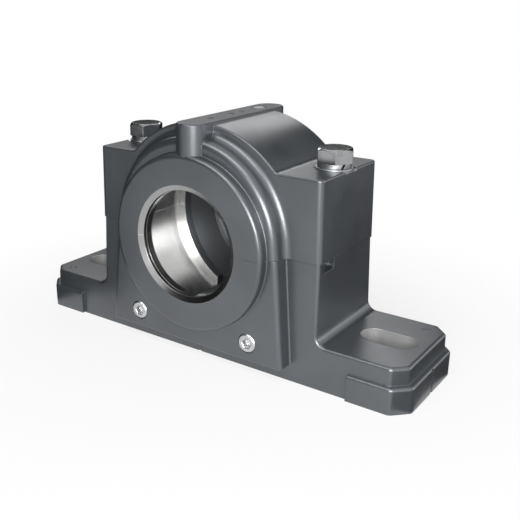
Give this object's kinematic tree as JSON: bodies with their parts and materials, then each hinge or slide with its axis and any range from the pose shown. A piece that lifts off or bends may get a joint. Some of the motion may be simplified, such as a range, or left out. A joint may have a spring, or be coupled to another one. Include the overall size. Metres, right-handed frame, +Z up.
{
  "type": "split plummer block",
  "caption": "Split cast-iron plummer block housing with bolted cap, slotted foot, round shaft way, lubrication plug and corner plugs, painted dark grey",
  "frame": {"origin": "centre of the mounting face under the foot, midway between the two foot slots and between the two ends of the shaft way", "axes": "+X along the length of the foot, +Y along the shaft axis towards the end with the lubrication plug, +Z up from the mounting face to the cap"},
  "size_m": [0.255, 0.0912, 0.1337],
  "materials": {
    "casting": "satin",
    "zinc": "satin",
    "steel": "satin"
  },
  "bodies": {
    "root": {"housing_base": "casting", "housing_cap": "casting", "cap_bolt_left": "zinc", "cap_bolt_right": "zinc", "spring_washer_left": "zinc", "spring_washer_right": "zinc", "flat_washer_left": "zinc", "flat_washer_right": "zinc", "dowel_pin_left": "steel", "dowel_pin_right": "steel", "front_plug_left": "zinc", "front_plug_right": "zinc", "rear_plug_left": "zinc", "rear_plug_right": "zinc", "lubrication_plug": "zinc"}
  },
  "joints": []
}
